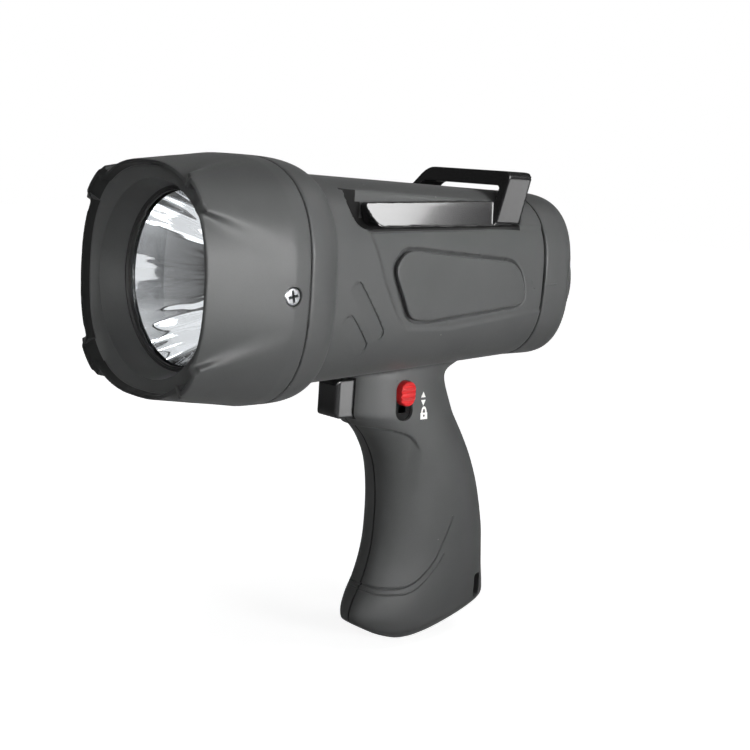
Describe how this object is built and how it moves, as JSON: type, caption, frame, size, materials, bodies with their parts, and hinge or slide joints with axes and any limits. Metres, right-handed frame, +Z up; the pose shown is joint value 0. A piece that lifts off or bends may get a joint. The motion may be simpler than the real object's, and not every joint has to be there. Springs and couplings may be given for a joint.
{
  "type": "handheld searchlight",
  "caption": "Pistol-grip handheld searchlight with a recessed reflector head, trigger switch with a safety slide, folding carrying bracket and twist-off tail cap.",
  "frame": {"origin": "centre of the flat rear face of the tail cap, on the beam axis", "axes": "-Y along the beam out of the head, +Y out of the tail cap, +Z up and away from the grip, +X the side with the safety slide"},
  "size_m": [0.0768, 0.17, 0.1658],
  "materials": {
    "soft_touch": "soft rubberised matte over ABS",
    "gloss_black": "polished moulded black",
    "black_rubber": "matte",
    "clear_lens": "clear polished",
    "reflector_coat": "vacuum-metallised mirror",
    "led_phosphor": "yellow phosphor under a clear dome",
    "white_board": "white solder mask",
    "green_board": "green solder mask",
    "cast_aluminium": "as cast",
    "plain_steel": "zinc plated",
    "contact_brass": "stamped sheet",
    "switch_black": "satin",
    "switch_white": "satin",
    "red_plastic": "glossy red",
    "battery_sleeve": "plain printed sleeve without any wording"
  },
  "bodies": {
    "housing": {"shell_left": "soft_touch", "shell_right": "soft_touch", "head_shell": "soft_touch", "side_pad_left": "soft_touch", "side_pad_right": "soft_touch", "lens_gasket": "black_rubber", "lens": "clear_lens", "reflector": "reflector_coat", "lens_retainer": "gloss_black", "led_emitter": "led_phosphor", "led_board": "white_board", "heat_sink": "cast_aluminium", "driver_board": "green_board", "head_screw_left": "plain_steel", "head_screw_right": "plain_steel", "shell_screw_1": "plain_steel", "shell_screw_2": "plain_steel", "shell_screw_3": "plain_steel", "shell_screw_4": "plain_steel", "battery_carrier": "switch_black", "battery_1": "battery_sleeve", "battery_2": "battery_sleeve", "battery_3": "battery_sleeve", "battery_4": "battery_sleeve", "front_contact_pos": "contact_brass", "front_contact_neg": "contact_brass", "switch_body": "switch_black", "bracket_pin_left": "plain_steel", "bracket_pin_right": "plain_steel", "trigger_spring": "plain_steel"},
    "cap": {"tail_cap": "soft_touch", "tail_seal": "black_rubber", "tail_spring": "plain_steel"},
    "trigger": {"trigger": "gloss_black"},
    "plunger": {"switch_plunger": "switch_white"},
    "lock": {"lock_button": "red_plastic", "lock_foot": "gloss_black"},
    "bracket": {"bracket": "gloss_black"}
  },
  "joints": [
    {"name": "trigger_pull", "type": "slide", "parent": "housing", "child": "trigger", "axis": [0, 1, 0], "range_m": [0, 0.0035], "stiffness_N_per_m": 900, "springref_m": -0.0015, "deforming": ["trigger_spring"]},
    {"name": "plunger_press", "type": "slide", "parent": "housing", "child": "plunger", "axis": [0, 1, 0], "range_m": [0, 0.0035], "stiffness_N_per_m": 300},
    {"name": "lock_slide", "type": "slide", "parent": "housing", "child": "lock", "axis": [0, 0, -1], "range_m": [0, 0.005]},
    {"name": "bracket_fold", "type": "hinge", "parent": "housing", "child": "bracket", "pos_m": [0, -0.1006, 0.0222], "axis": [1, 0, 0], "range_deg": [0, 110]},
    {"name": "tail_cap_twist", "type": "hinge", "parent": "housing", "child": "cap", "pos_m": [0, 0, 0], "axis": [0, 1, 0], "range_deg": [0, 35]}
  ],
  "couplings": [
    {"joint": "plunger_press", "follows": "trigger_pull", "ratio": 1}
  ]
}
